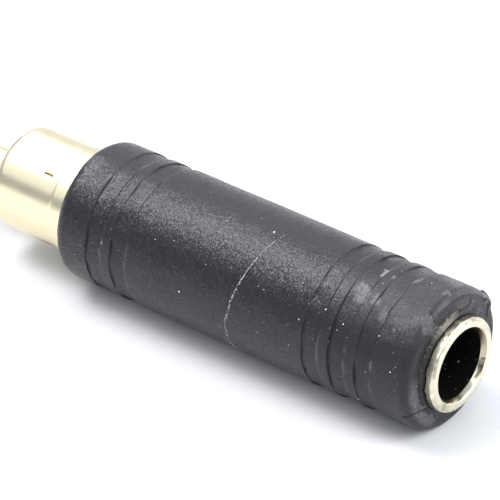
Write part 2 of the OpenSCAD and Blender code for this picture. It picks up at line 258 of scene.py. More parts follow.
class Finish:
    """A material with one Principled shader; p is the place on the object in millimetres."""

    def __init__(self, name, **sockets):
        self.material = bpy.data.materials.new(name)
        self.material.use_nodes = True
        self.tree = self.material.node_tree
        self.tree.nodes.clear()
        self.shader = self.tree.nodes.new("ShaderNodeBsdfPrincipled")
        end = self.tree.nodes.new("ShaderNodeOutputMaterial")
        self.tree.links.new(self.shader.outputs[0], end.inputs[0])
        for key, value in sockets.items():
            self.shader.inputs[key.replace("_", " ")].default_value = value
        place_m = self.node("ShaderNodeTexCoord", {}, {}, "Object")
        self.p = self.node("ShaderNodeMapping", {}, {"Vector": place_m, "Scale": (1000, 1000, 1000)})

    def node(self, kind, settings, sockets, output=0):
        """Adds a node: first its settings, such as a ramp's stops, then values or links for its sockets."""
        made = self.tree.nodes.new(kind)
        for key, value in settings.items():
            if key == "stops":
                stops = made.color_ramp.elements
                while len(stops) < len(value):
                    stops.new(0.5)
                for stop, (position, level) in zip(stops, value):
                    stop.position, stop.color = position, (level, level, level, 1)
            else:
                setattr(made, key, value)
        for key, value in sockets.items():
            if isinstance(value, Value):
                self.tree.links.new(value.socket, made.inputs[key])
            else:
                made.inputs[key].default_value = value
        return Value(self, made.outputs[output])

    def noise(self, scale, detail=2.0, vector=None, **sockets):
        """Noise between 0 and 1; scale is in cells per millimetre."""
        return self.node("ShaderNodeTexNoise", {},
                         {"Vector": vector or self.p, "Scale": scale, "Detail": detail, **sockets})

    def stretched(self, x, y, z):
        """The place with each direction scaled by itself."""
        return self.node("ShaderNodeMapping", {}, {"Vector": self.p, "Scale": (x, y, z)})

    def ramp(self, factor, *stops):
        """Levels that follow a factor through (position, level) stops."""
        return self.node("ShaderNodeValToRGB", {"stops": stops}, {"Fac": factor})

    def mix(self, factor, a, b):
        """A colour between two."""
        return self.node("ShaderNodeMix", {"data_type": "RGBA"}, {0: factor, 6: a, 7: b}, 2)

    def attribute(self, name):
        """A number that the mesh carries."""
        return self.node("ShaderNodeAttribute", {"attribute_name": name}, {}, "Fac")

    def bump(self, height, distance_mm, normal=None):
        """A normal bent by a height; the distance is the real height of a full step."""
        sockets = {"Height": height, "Distance": distance_mm * MM, "Strength": 1.0}
        if normal is not None:
            sockets["Normal"] = normal
        return self.node("ShaderNodeBump", {}, sockets, "Normal")

    def tilted(self, normal, colour, amount):
        """A normal leaned at random: each grain's own colour, less its mean, is added to it."""
        lean = self.node("ShaderNodeVectorMath", {"operation": "SUBTRACT"}, {0: colour, 1: (0.5, 0.5, 0.5)})
        lean = self.node("ShaderNodeVectorMath", {"operation": "SCALE"}, {0: lean, "Scale": amount})
        total = self.node("ShaderNodeVectorMath", {"operation": "ADD"}, {0: normal, 1: lean})
        return self.node("ShaderNodeVectorMath", {"operation": "NORMALIZE"}, {0: total})

    def feed(self, **values):
        """Links values that change over the surface to the shader's sockets."""
        for key, value in values.items():
            self.tree.links.new(value.socket, self.shader.inputs[key.replace("_", " ")])
        return self.material


def rgb(r, g, b):
    return (r, g, b, 1.0)


def grip_plastic():
    """Spark-eroded black PVC: fine pits, worn pale grains, dust, whitish scuffs, painted shade in the creases
    and corners, and painted highlights on the front edges of the grooves.
    """
    f = Finish("grip_finish", Roughness=0.45, IOR=1.45, Specular_Tint=rgb(1.0, 0.985, 1.01))
    skin = f.node("ShaderNodeUVMap", {"uv_map": "skin"}, {})
    pits = f.noise(9.0, 2.0, Roughness=0.6)
    facets = f.node("ShaderNodeTexVoronoi", {}, {"Vector": f.p, "Scale": 12.5, "Randomness": 1.0}, "Color")
    cloud = f.noise(0.32, 3.0)
    patches = f.noise(1.6, 4.0, Roughness=0.6)
    grains = f.ramp(f.noise(10.0, 1.0), (0.60, 0.0), (0.70, 1.0))
    lint_near = f.node("ShaderNodeTexVoronoi", {"voronoi_dimensions": "2D"}, {"Vector": skin, "Scale": 1.15},
                       "Distance")
    lint = f.ramp(lint_near, (0.025, 1.0), (0.040, 0.0))
    lint_here = f.ramp(f.noise(0.8, 0.0), (0.55, 0.0), (0.60, 1.0))
    flecks = f.noise(4.5, 4.0, Roughness=0.65)
    scuff = f.attribute("scuff") * f.ramp(flecks, (0.40, 0.25), (0.56, 1.0))
    # Painted shade: darker where shade falls, in the grooves' rear walls, the gaps and cracks of the front
    # face and at the foot of the ring
    grime = f.attribute("grime")
    base = f.mix(cloud, rgb(0.0035, 0.0031, 0.0040), rgb(0.0068, 0.0060, 0.0076))
    base = f.mix(grains * 0.14, base, rgb(0.080, 0.074, 0.079))
    base = f.mix(scuff, base, rgb(0.21, 0.20, 0.205))
    # Painted highlight: pale lines on the front edges of the grooves, where their rounding catches light
    base = f.mix(f.attribute("rubbed"), base, rgb(0.22, 0.22, 0.23))
    # Pale tan beside the ring: partly residue, partly a painted reflection of the gold ring
    base = f.mix(f.attribute("residue"), base, rgb(0.17, 0.152, 0.122))
    base = f.mix(grime, base, rgb(0.003, 0.003, 0.003))
    base = f.mix(lint * lint_here * 0.5, base, rgb(0.35, 0.34, 0.33))
    coarse = f.attribute("rough")
    roughness = 0.39 - 0.13 * coarse + 0.05 * patches + 0.08 * cloud + 0.04 * scuff + 0.3 * grime
    normal = f.tilted(f.bump(patches, 0.008, f.bump(pits, 0.014)), facets, 0.25 + 0.15 * coarse)
    return f.feed(Base_Color=base, Roughness=roughness, Normal=normal)


def gold():
    """Polished gold plating: faint turning lines round the axis, smears, and a few pale spots."""
    f = Finish("gold_finish", Metallic=1.0, Roughness=0.2)
    smear = f.noise(0.7, 4.0, Roughness=0.6)
    rings = f.noise(16.0, 1.0, f.stretched(1.0, 0.03, 0.03))
    fine = f.noise(5.0, 3.0)
    base = f.mix(smear, rgb(0.755, 0.705, 0.54), rgb(0.79, 0.75, 0.595))
    base = f.mix(f.attribute("pale"), rgb(0.78, 0.70, 0.465), base)
    base = f.mix(f.attribute("tarnish"), base, rgb(0.13, 0.11, 0.08))
    # Painted shadow: black where the ring's side meets the gap beside the crust
    dirt = f.attribute("dirt")
    base = f.mix(dirt, base, rgb(0.006, 0.005, 0.005))
    roughness = 0.15 + 0.14 * smear + 0.05 * rings + 0.2 * f.attribute("satin") + 0.4 * dirt
    normal = f.bump(rings * 0.7 + fine * 0.3, 0.0012)
    return f.feed(Base_Color=base, Roughness=roughness, Normal=normal)


def moulded(name, dark, light, grain, depth_mm, rough, shine=0.5):
    """Plain moulded plastic: two close shades, a grain of its own size and an uneven gloss."""
    f = Finish(name + "_finish", Roughness=rough, Specular_IOR_Level=shine)
    cloud = f.noise(0.5, 3.0)
    pits = f.noise(grain, 3.0)
    base = f.mix(cloud, rgb(*dark), rgb(*light))
    return f.feed(Base_Color=base, Roughness=rough - 0.06 + 0.14 * cloud, Normal=f.bump(pits, depth_mm))


def rolled(name, dark, light, rough, along=(0.15, 6.0, 6.0)):
    """Rolled or drawn metal: streaks along one direction, small stains and an uneven gloss."""
    f = Finish(name + "_finish", Metallic=1.0, Roughness=rough)
    streaks = f.noise(1.6, 3.0, f.stretched(*along))
    stain = f.noise(0.8, 4.0)
    base = f.mix(stain, rgb(*dark), rgb(*light))
    return f.feed(Base_Color=base, Roughness=rough - 0.08 + 0.16 * stain + 0.1 * streaks,
                  Normal=f.bump(streaks, 0.004))


def lint_finish():
    """Dust and lint: chalky off-white."""
    f = Finish("lint", Roughness=0.9)
    return f.feed(Base_Color=f.mix(f.noise(3.0), rgb(0.50, 0.49, 0.47), rgb(0.80, 0.79, 0.77)))


FINISHES = {
    "grip_pvc": grip_plastic(),
    "gold_plating": gold(),
    "liner_plastic": moulded("liner_plastic", (0.0012, 0.0010, 0.0008), (0.003, 0.0026, 0.002), 4.0, 0.006,
                             0.5, 0.2),
    "sleeve_plastic": moulded("sleeve_plastic", (0.66, 0.64, 0.57), (0.76, 0.74, 0.68), 3.0, 0.008, 0.5),
    "insulator_plastic": moulded("insulator_plastic", (0.010, 0.010, 0.010), (0.022, 0.022, 0.022), 5.0,
                                 0.008, 0.45),
    "spring_bronze": rolled("spring_bronze", (0.62, 0.42, 0.20), (0.80, 0.60, 0.34), 0.3),
    "strap_copper": rolled("strap_copper", (0.66, 0.34, 0.20), (0.84, 0.50, 0.33), 0.32),
    "tinned_metal": rolled("tinned_metal", (0.62, 0.61, 0.58), (0.78, 0.77, 0.74), 0.35),
    "solder": rolled("solder", (0.50, 0.50, 0.52), (0.70, 0.70, 0.72), 0.4, along=(2.0, 2.0, 2.0)),
}
LINT = lint_finish()

slot_of = {part["node"]: part["material_slot"] for part in frame["record"]["subparts"]}
for node_name, node in frame["nodes"].items():
    for holder in node.material_slots:
        holder.material = FINISHES[slot_of[node_name]]


# Camera: its direction, distance, target and lens come from a fit to the outlines in the photo

AZIMUTH, ELEVATION = math.radians(39.0), math.radians(32.3)
DISTANCE = 0.3214
TARGET = Vector((5.45, 0.0, 8.86)) * MM
FOCAL_PIXELS, FRAME_PIXELS, SENSOR_MM = 3706.0, 500.0, 36.0

back = Vector((math.sin(AZIMUTH) * math.cos(ELEVATION), -math.cos(AZIMUTH) * math.cos(ELEVATION),
               math.sin(ELEVATION)))
lens = bpy.data.cameras.new("photo_camera")
lens.sensor_width = SENSOR_MM
lens.lens = FOCAL_PIXELS / FRAME_PIXELS * SENSOR_MM
lens.clip_start, lens.clip_end = 0.01, 20.0
camera = bpy.data.objects.new("photo_camera", lens)
bpy.context.collection.objects.link(camera)
camera.location = TARGET + back * DISTANCE
camera.rotation_euler = back.to_track_quat("Z", "Y").to_euler()
bpy.context.scene.camera = camera


# Grip

# Angles of the two parting ridges
PARTING = (206.0, 25.0)
# How far the skin lies inside the solid, so that its ripple and its ridges stay within the solid's box
SKIN_SINK = 0.03
# Heights and depths of what the mould left
RIDGE_HEIGHT, LIP_HEIGHT, GAP_DEPTH, CRACK_DEPTH = 0.022, 0.25, 0.10, 0.09
# What is left of a groove's depth at its rear wall, and the soft stretch of its front wall
GROOVE_LEFT, GROOVE_WALL = 0.62, (-0.14, 0.10)
# Radius from which a point counts as the barrel or its rounded edges
EDGE_IN_R = 6.0
# Angle of the pale tan at the ring's foot, partly residue and partly a painted reflection of the gold ring
RESIDUE_AND_REFLECTION_AT = 106


def barrel_stations():
    """Depths along the barrel: even steps, with close ones at the walls of each groove."""
    even = np.arange(GRIP_FRONT + MOUTH_EDGE_R + 0.1, GRIP_END - PLUG_EDGE_R - 0.05, 0.25)
    front_wall = np.linspace(-0.16, 0.12, 7)
    rear_wall = GROOVE_W + np.array([-0.08, -0.04, -0.02, 0, 0.02, 0.04, 0.08])
    walls = np.concatenate([at + wall for at in GROOVES for wall in (front_wall, rear_wall)])
    even = even[np.abs(even[:, None] - walls).min(axis=1) > 0.06]
    return np.sort(np.concatenate([even, walls]))


def grip_section():
    """The grip's closed half section as [depth, radius] points: front face, rounded edge, barrel, rounded
    edge, back face, and the stepped hollow inside. Returns it, and whether each point is on the outside."""
    barrel = barrel_stations()
    outside = np.vstack([
        line((GRIP_FRONT, RING_R), (GRIP_FRONT, GRIP_R - MOUTH_EDGE_R), 0.09),
        arc(GRIP_FRONT + MOUTH_EDGE_R, GRIP_R - MOUTH_EDGE_R, MOUTH_EDGE_R, 180, 90, 15),
        np.stack([barrel, np.full_like(barrel, GRIP_R)], axis=-1),
        arc(GRIP_END - PLUG_EDGE_R, GRIP_R - PLUG_EDGE_R, PLUG_EDGE_R, 90, 0, 12),
        line((GRIP_END, GRIP_R - PLUG_EDGE_R), (GRIP_END, RING_R), 0.25)[1:],
        [(GRIP_END, RING_R)]])
    hollow = np.array([(LOCK_END, RING_R), (LOCK_END, LOCK_R), (LOCK_AT, LOCK_R), (LOCK_AT, SLEEVE_R),
                       (COLLAR_END, SLEEVE_R), (COLLAR_END, COLLAR_R), (COLLAR_AT, COLLAR_R),
                       (COLLAR_AT, RING_R)])
    section = np.vstack([outside, hollow])
    return section, np.arange(len(section)) < len(outside)


def grip_angles():
    """Angles round the grip, closer together where a mark of the mould crosses."""
    even = np.linspace(-90, 270, 240, endpoint=False)
    marks = [np.arange(202, 221, 0.5), np.arange(58, 78, 0.8), np.arange(22.6, 27.6, 0.45),
             np.arange(38, 45, 0.5)]
    angles = np.unique(np.round(np.concatenate([even] + marks), 3))
    return angles[np.append(np.diff(angles) > 0.3, True)]


def groove_fall(depth, worn):
    """How deep the grooves are, from 0 to 1: a soft front wall, a floor that rises backwards, less so where
    it is worn, and a low sharp rear wall."""
    return sum(smooth(at + GROOVE_WALL[0], at + GROOVE_WALL[1], depth)
               * (1 - (1 - GROOVE_LEFT * worn) * np.clip((depth - at) / GROOVE_W, 0, 1))
               * (depth < at + GROOVE_W + 0.01) * (1 - 0.5 * (np.abs(depth - at - GROOVE_W) < 0.01))
               for at in GROOVES)


def front_flaws(radius, angle, quick):
    """The gap low on the front face, the crack at its top and the split beside the lip of flash, each from 0
    to 1. Each is a bell curve across a line that wanders with the radius or the angle."""
    gap_at = 218 - 12 * smooth(4.2, 6.3, radius)
    gap = near(off(angle, gap_at, radius) + 0.05 * quick, 0, 0.10)
    crack_at = 74 - 11 * smooth(4.1, 5.7, radius) + 2.5 * np.sin(radius * 7)
    crack = near(off(angle, crack_at, radius), 0, 0.07) * (1 - smooth(5.4, 5.75, radius))
    split = near(radius, 5.25 + 0.064 * (angle - 24), 0.09) * band(angle, 20, 25, 42.5, 44)
    return gap, crack, split


# Pale scuffs as [depth, angle, half length in mm, half width in degrees, strength]
SCUFFS = [(8.2, 120, 0.60, 8, 0.50), (7.9, 95, 0.18, 3.2, 1.5), (6.8, 97, 0.25, 2.6, 0.5),
          (6.8, 120, 0.35, 4.5, 0.4), (5.4, 129, 0.50, 4, 0.3), (5.0, 87, 0.12, 4, 0.6),
          (1.5, 121, 0.50, 6, 0.3), (2.0, 90, 0.30, 4, 0.3), (12.8, 62, 0.90, 6, 0.25),
          (9.4, 70, 0.70, 6, 0.2), (1.6, 40, 0.40, 4, 0.6), (4.5, 142, 0.70, 4, 0.08),
          (3.2, 130, 0.80, 6, 0.12), (38.9, 108, 0.80, 8, 0.2)]


def scuffed(points, depth, radius, angle, quick, on_front):
    """How scuffed or dusty the skin is: ragged ovals, a film on the low side of the front face and settled
    dust on the end next to the socket."""
    uneven = np.clip(1 + 0.5 * quick + 0.35 * ripple(points, 0.7, 10), 0.4, 4.0)
    ovals = sum(strength * smooth(1.35, 0.85, (((depth - at) / long) ** 2
                                               + (turned(angle, turn) / wide) ** 2) * uneven)
                for at, turn, long, wide, strength in SCUFFS)
    film = 0.34 * band(angle, 165, 185, 236, 250) + 0.14 * near(turned(angle, 70), 0, 18)
    film = film * on_front * (1 - smooth(5.5, 6.2, radius))
    settled = (0.13 + 0.30 * (1 - smooth(60, 86, angle))) * band(angle, -30, 30, 98, 116)
    settled = (settled * np.clip(0.9 + 0.2 * quick, 0.4, 1.4) * (1 - smooth(3, 11, depth))
               * (radius > EDGE_IN_R))
    return np.clip(ovals + film + settled, 0, 1.5)


def grip():
    """The grip as a section carried round the axis, moved along its own normal by: grooves with a soft front
    wall and a low sharp rear wall, the ripple of a moulding, two parting ridges, a lip of flash, a crack
    and gaps."""
    section, outer = grip_section()
    angles = grip_angles()
    step = np.roll(section, -1, axis=0) - np.roll(section, 1, axis=0)
    step[~outer] = (0, 1)
    normal = np.stack([-step[:, 1], step[:, 0]], axis=-1) / np.linalg.norm(step, axis=1)[:, None]
    depth, radius = section[:, 0:1], section[:, 1:2]
    angle = angles[None, :]
    points = place(depth, radius, angle)
    outer = outer[:, None]
    on_barrel = outer & (radius > GRIP_R - 0.02)
    on_front = outer & (depth < GRIP_FRONT + MOUTH_EDGE_R)
    slow = ripple(points, 7.0, 1)
    quick = ripple(points, 1.5, 2)

    worn = (np.clip(0.85 + 0.3 * ripple(points, 2.5, 8), 0.2, 1.15)
            * (1 - 0.5 * near(turned(angle, 103), 0, 10)))
    filled = 1 - 0.55 * near(turned(angle, 99), 0, 10)
    grooves = GROOVE_DEPTH * (1 + 0.08 * slow) * filled * groove_fall(depth, worn) * on_barrel
    ridge = sum(near(off(angle, at, radius), 0, 0.07) for at in PARTING)
    ridge = ridge * (smooth(-0.2, 0.9, ripple(points, 4.0, 4)) * 0.8 + 0.2) * (radius > EDGE_IN_R)
    gap, crack, split = [flaw * on_front for flaw in front_flaws(radius, angle, quick)]
    lip = band(angle, 23, 31, 41, 43.5) * smooth(5.7, 6.1, radius) * (1 - smooth(1.7, 2.1, depth))
    rim = near(radius, RING_R, 0.35) * on_front * ripple(points, 0.9, 5)
    move = 0.008 * slow + 0.004 * quick - SKIN_SINK - grooves + RIDGE_HEIGHT * ridge + LIP_HEIGHT * lip
    move = (move - GAP_DEPTH * (gap + split) - CRACK_DEPTH * crack + 0.05 * rim) * outer
    drift = 0.03 * ripple(points, 2.2, 3) * on_barrel
    points = place(depth + drift + move * normal[:, 0:1], radius + move * normal[:, 1:2], angle)
    piece = build("grip_skin", points.reshape(-1, 3), loop_faces(*points.shape[:2]),
                  loop_outline(run(section), angles, GRIP_R))

    # Painted highlight on the grooves' front edges, low on the barrel and near the top, where the rounding
    # catches light
    front_edges = sum(near(depth, at - 0.02, 0.09) for at in GROOVES) * on_barrel
    rubbed = band(angle, 160, 172, 232, 244) + 0.9 * near(turned(angle, 86), 0, 9)
    mark(piece, "rubbed", front_edges * rubbed * np.clip(0.6 + 0.5 * ripple(points, 1.3, 9), 0, 1))
    mark(piece, "scuff", scuffed(points, depth, radius, angle, quick, on_front) * outer)
    # Painted shade in the creases: the rear walls of the grooves, the foot of the ring, and the gap, crack
    # and split of the front face
    rear_edges = sum(near(depth, at + GROOVE_W, 0.05) for at in GROOVES) * on_barrel
    foot = near(radius, RING_R, 0.28) * on_front * smooth(-0.6, 0.6, ripple(points, 1.2, 7))
    mark(piece, "grime", np.clip(0.9 * rear_edges * worn + foot + gap + crack + split, 0, 1) * outer)
    # Pale tan beside the ring on the front face: partly residue, partly a painted reflection of the gold ring
    mark(piece, "residue", near(turned(angle, RESIDUE_AND_REFLECTION_AT), 0, 17) * (1 - smooth(4.45, 5.0, radius))
         * on_front)
    mark(piece, "rough", smooth(7.5, 13, depth) * outer + 0 * angle)
    ride(piece, "grip_pvc", "grip_overmould")


# Bushing

# Radius of the line on the grip's front from which the crust climbs the ring
CRUST_R = RING_R + 0.06
# The flared lip's outer radius, the inner and outer radius of the flat face, and the depth of the crown
LIP_R = BORE_R + LEAD_IN
FACE_IN_R, FACE_OUT_R, CROWN_DEPTH = 3.53, 3.92, 0.30
# Flat seats on the skirt, for the ground spring and for the strap, as (angle, half width)
SEATS = ((-90.0, LEAF_W / 2 + LEAF_GAP), (0.0, STRAP_W / 2 + LEAF_GAP))
# Angle of the lip's seam
SEAM_AT = 343


def crust_climb(angle):
    """Height in mm of the crust that climbs the ring's foot: even on top, ragged lower down."""
    base = place(GRIP_FRONT, CRUST_R, angle)
    rough = ripple(base, 1.0, 21) + 0.6 * ripple(base, 0.4, 22)
    climb = 0.03 + 0.25 * band(angle, 20, 62, 196, 240)
    return np.clip(climb + 0.035 * rough * (0.2 + 0.8 * smooth(142, 156, angle)), 0.02, 0.40)


def bushing_section():
    """The ring's closed half section as [depth, radius] points: bore, flared lip, flat face, crown, side,
    collar and skirt."""
    t = np.radians(np.linspace(0, 90, 12))
    fall = np.array([0, 0.03, 0.08, 0.2, 0.35, 0.5, 0.65, 0.8, 0.92, 1.0])
    lip_r = LIP_R - 0.01
    return np.vstack([
        line((LIP_LEN, LINER_R), (LIP_LEN, BORE_R), 0.2),
        np.stack([0.02 + (LIP_LEN - 0.02) * fall, lip_r - (lip_r - BORE_R) * fall ** 0.75], axis=-1)[::-1],
        line((0.005, LIP_R + 0.005), (0.0, FACE_IN_R), 0.01),
        line((0.0, FACE_IN_R), (0.0, FACE_OUT_R), 0.08),
        np.stack([CROWN_DEPTH * (1 - np.cos(t)), FACE_OUT_R + (RING_R - FACE_OUT_R) * np.sin(t)], axis=-1),
        line((CROWN_DEPTH + 0.03, RING_R), (GRIP_FRONT + 0.05, RING_R), 0.035),
        line((GRIP_FRONT + 0.05, RING_R), (COLLAR_AT, RING_R), 0.25),
        line((COLLAR_AT, RING_R), (COLLAR_AT, COLLAR_R), 0.3),
        line((COLLAR_AT, COLLAR_R), (COLLAR_END, COLLAR_R), 0.5),
        line((COLLAR_END, COLLAR_R), (COLLAR_END, RING_R), 0.3),
        line((COLLAR_END, RING_R), (SKIRT_END, RING_R), 0.8),
        line((SKIRT_END, RING_R), (SKIRT_END, LINER_R), 0.3),
        line((SKIRT_END, LINER_R), (LIP_LEN, LINER_R), 1.0)])


def bushing():
    """The bushing as its section carried round the axis: the collar is cut by two flats, at a radius of
    FLAT_R over the cosine, each seat on the skirt in the same way, and a small seam crosses the lip."""
    section = bushing_section()
    angles = np.linspace(-90, 270, 240, endpoint=False)
    angle = angles[None, :]
    depth, radius = section[:, 0:1], section[:, 1:2] + 0 * angle
    flat = np.minimum(COLLAR_R, FLAT_R / np.maximum(np.abs(np.cos(np.radians(angle))), 1e-6))
    lower = RING_R + (radius - RING_R) * (flat - RING_R) / (COLLAR_R - RING_R)
    radius = np.where(radius > RING_R, lower, radius)
    skirt = (depth > COLLAR_END + 0.01) & (radius > SEAT_R + 0.1)
    for at, half in SEATS:
        away = np.radians(turned(angle, at))
        seat = skirt & (np.abs(radius * np.sin(away)) < half) & (np.cos(away) > 0)
        radius = np.where(seat, np.minimum(radius, SEAT_R / np.maximum(np.cos(away), 1e-6)), radius)
    seam = near(off(angle, SEAM_AT, radius), 0, 0.05) * (depth < CROWN_DEPTH) * (radius < LIP_R)
    radius = radius + 0.03 * seam
    points = place(depth, radius, angle)
    piece = build("bushing_ring", points.reshape(-1, 3), loop_faces(*points.shape[:2]),
                  loop_outline(run(section), angles, 4.0))

    inside = (depth > 0.03) * (depth < 0.6) * (radius < LIP_R)
    side = (depth > 0.25) * (depth < GRIP_FRONT) * (radius > 4.2)
    face = (depth < 0.02) * (radius > LIP_R)
    edge = (depth > 0.01) * (depth < CROWN_DEPTH) * (radius > 3.9)
    blotch = np.clip(0.6 + 0.5 * ripple(points, 0.7, 41), 0, 1)
    streak = np.clip(0.8 + 0.5 * ripple(points * np.array([1, 0.12, 0.12]), 0.22, 42), 0.1, 1)
    stain = np.exp(-(turned(angle, -39) / 11.5) ** 4) * streak + 0.9 * near(turned(angle, -90), 0, 8)
    stain = (stain + 0.5 * band(angle, -50, -36, 58, 75)) * inside
    film = (0.28 + 0.25 * near(turned(angle, 205), 0, 30) + 0.25 * near(turned(angle, 158), 0, 14)
            + 0.6 * band(angle, 48, 62, 116, 138) + 0.12 * smooth(0.3, 0.8, depth))
    film = film * side * (0.4 + 0.6 * blotch)
    worn = 0.12 + 0.22 * near(turned(angle, 35), 0, 32) + 0.5 * near(turned(angle, 230), 0, 9)
    worn = worn * face * (0.6 + 0.4 * blotch)
    rubbed = ((0.25 + 0.4 * near(turned(angle, 160), 0, 14) + 0.25 * near(turned(angle, 70), 0, 22))
              * edge * blotch)
    mark(piece, "tarnish", np.clip(stain + film + worn + rubbed + 0.8 * seam, 0, 1))
    mark(piece, "satin", (side + 0.6 * face) * blotch)
    mark(piece, "pale", np.ones(points.shape[:2]))
    # Painted shadow on the ring's side, in the gap just beyond the crust that climbs it
    foot = GRIP_FRONT - crust_climb(angle)
    mark(piece, "dirt", smooth(foot - 0.15, foot - 0.08, depth) * (radius > 4.2) * (depth < COLLAR_AT)
         * (1 - near(turned(angle, 0), 0, 45)))
    ride(piece, "gold_plating", "jack_bushing")


# Shell of the phono plug

def thick(name, outer, inner, active):
    """A wall between two grids of the same size, closed round its columns: both faces, and a side wherever
    an active cell meets an empty one."""
    rows, columns = outer.shape[:2]
    points = np.vstack([outer.reshape(-1, 3), inner.reshape(-1, 3)])
    i, j = np.nonzero(active)
    j2 = (j + 1) % columns
    a, b, c, d = i * columns + j, i * columns + j2, (i + 1) * columns + j2, (i + 1) * columns + j
    back_side = rows * columns
    quads = [np.stack([a, b, c, d], axis=-1), np.stack([d, c, b, a], axis=-1) + back_side]
    framed = np.zeros((active.shape[0] + 2, columns), bool)
    framed[1:-1] = active
    sides = [(framed[:-2], a, b), (np.roll(framed, -1, axis=1)[1:-1], b, c), (framed[2:], c, d),
             (np.roll(framed, 1, axis=1)[1:-1], d, a)]
    for neighbour, p, q in sides:
        open_side = ~neighbour[i, j]
        p, q = p[open_side], q[open_side]
        quads.append(np.stack([q, p, p + back_side, q + back_side], axis=-1))
    faces = np.vstack(quads)
    used, faces = np.unique(faces, return_inverse=True)
    return build(name, points[used], faces.reshape(-1, 4))


def shell_curves():
    """The shell's outer and inner curve as [depth, radius] points that belong together. Where the outer curve
    steps, the inner one goes on a little, so that no wall closes up."""
    outer = np.vstack([
        [(SPIGOT_AT, RING_R), (LOCK_AT, RING_R), (LOCK_AT, LOCK_R), (LOCK_END, LOCK_R), (LOCK_END, RING_R),
         (GRIP_END, RING_R), (GRIP_END, FOOT_R), (GRIP_END + 0.7, FOOT_R), (FOOT_END - 0.14, FOOT_R),
         (FOOT_END - 0.06, FOOT_R), (FOOT_END, FOOT_R - 0.04), (FOOT_END + 0.03, SHELL_R + 0.02),
         (FOOT_END + 0.12, SHELL_R), (FOOT_END + 0.2, SHELL_R)],
        line((SLOT_END, SHELL_R), (RIM_AT - RIM_R, SHELL_R), 0.22),
        arc(RIM_AT - RIM_R, SHELL_R - RIM_R, RIM_R, 90, 27, 11)])
    depth = outer[:, 0] + 0.05 * np.append(False, np.diff(outer[:, 0]) < 1e-6)
    depth[-1] = RIM_AT - 0.08
    return outer, np.stack([depth, np.where(depth <= FLANGE_AT - 0.01, SPIGOT_BORE_R, SHELL_BORE_R)], axis=-1)


def shell():
    """The gold shell: spigot with its locking collar, foot band, and four leaves with a rolled rim, as a wall
    between an outer and an inner curve that share their parameter. The slots are drawn together past their
    ends."""
    outer, inner = shell_curves()
    half = math.degrees(math.asin(SLOT_W / 2 / SHELL_R))
    edges = np.concatenate([[at - half, at + half] for at in SLOT_ANGLES])
    angles = np.unique(np.round(np.concatenate([np.linspace(0, 360, 144, endpoint=False), edges]), 3))
    close = np.append(np.diff(angles) < 0.6, False) & ~np.isin(angles, np.round(edges, 3))
    angles = angles[~close]
    middle = (angles + np.append(angles[1:], angles[0] + 360)) / 2
    in_slot = np.min(np.abs(turned(middle[:, None], np.array(SLOT_ANGLES)[None, :])), axis=1) < half
    rows = outer[:-1, 0] >= SLOT_END - 1e-6
    active = ~(rows[:, None] & in_slot[None, :])
    depth = outer[:, 0:1]
    pull = half * (0.38 + 0.62 * smooth(SLOT_END + 0.6, SLOT_END + 1.5, depth)) * (depth > SLOT_END - 0.01)
    around = angles[None, :] + 0 * pull
    for at in SLOT_ANGLES:
        away = turned(around, at)
        around = around - np.sign(away) * pull * near(np.abs(away), half, 9)
    piece = thick("phono_leaves", place(depth, outer[:, 1:2], around),
                  place(inner[:, 0:1], inner[:, 1:2], around), active)
    piece.data.set_sharp_from_angle(angle=math.radians(38))
    spot = np.empty(len(piece.data.vertices) * 3, np.float32)
    piece.data.vertices.foreach_get("co", spot)
    spot = spot.reshape(-1, 3) / MM
    mark(piece, "tarnish", 0.3 * (np.hypot(spot[:, 1], spot[:, 2] - AXIS_Z) < SHELL_BORE_R + 0.06))
    mark(piece, "pale", np.full(len(spot), 0.25))
    ride(piece, "gold_plating", "phono_shell")


# Flash, scratch and dust

def tube(name, middle, size, normal, sides, flatten):
    """A closed tube with tips along a path: circles of the given sizes, flattened along the normal."""
    along = np.gradient(middle, axis=0)
    along /= np.linalg.norm(along, axis=1)[:, None]
    side = np.cross(normal, along)
    side /= np.linalg.norm(side, axis=1)[:, None]
    t = np.linspace(0, 2 * np.pi, sides, endpoint=False)[None, :, None]
    ring = (middle[:, None, :] + size[:, None, None] * (np.cos(t) * side[:, None, :]
            + flatten * np.sin(t) * normal[:, None, :]))
    count = len(middle)
    points = np.vstack([ring.reshape(-1, 3), middle[:1], middle[-1:]])
    body = loop_faces(count, sides, close_rows=False)
    j = np.arange(sides)
    start = np.stack([j, np.full(sides, count * sides), (j + 1) % sides], axis=-1)
    last = (count - 1) * sides
    end = np.stack([last + (j + 1) % sides, np.full(sides, count * sides + 1), last + j], axis=-1)
    mesh = bpy.data.meshes.new(name)
    mesh.from_pydata(points, [], body.tolist() + start.tolist() + end.tolist())
    mesh.polygons.foreach_set("use_smooth", np.ones(len(mesh.polygons), bool))
    piece = bpy.data.objects.new(name, mesh)
    bpy.context.collection.objects.link(piece)
    return piece


# Points of the scratch as (depth, angle), and its two strands as (name, side, seed, angle at which it begins)
SCRATCH = [(18.0, 94.0), (18.9, 126.0), (19.7, 156.0), (20.5, 187.0), (20.8, 214.0), (20.4, 230.0)]
STRANDS = [("scratch_burr_front", -1, 11, 92), ("scratch_burr_rear", 1, 15, 138)]


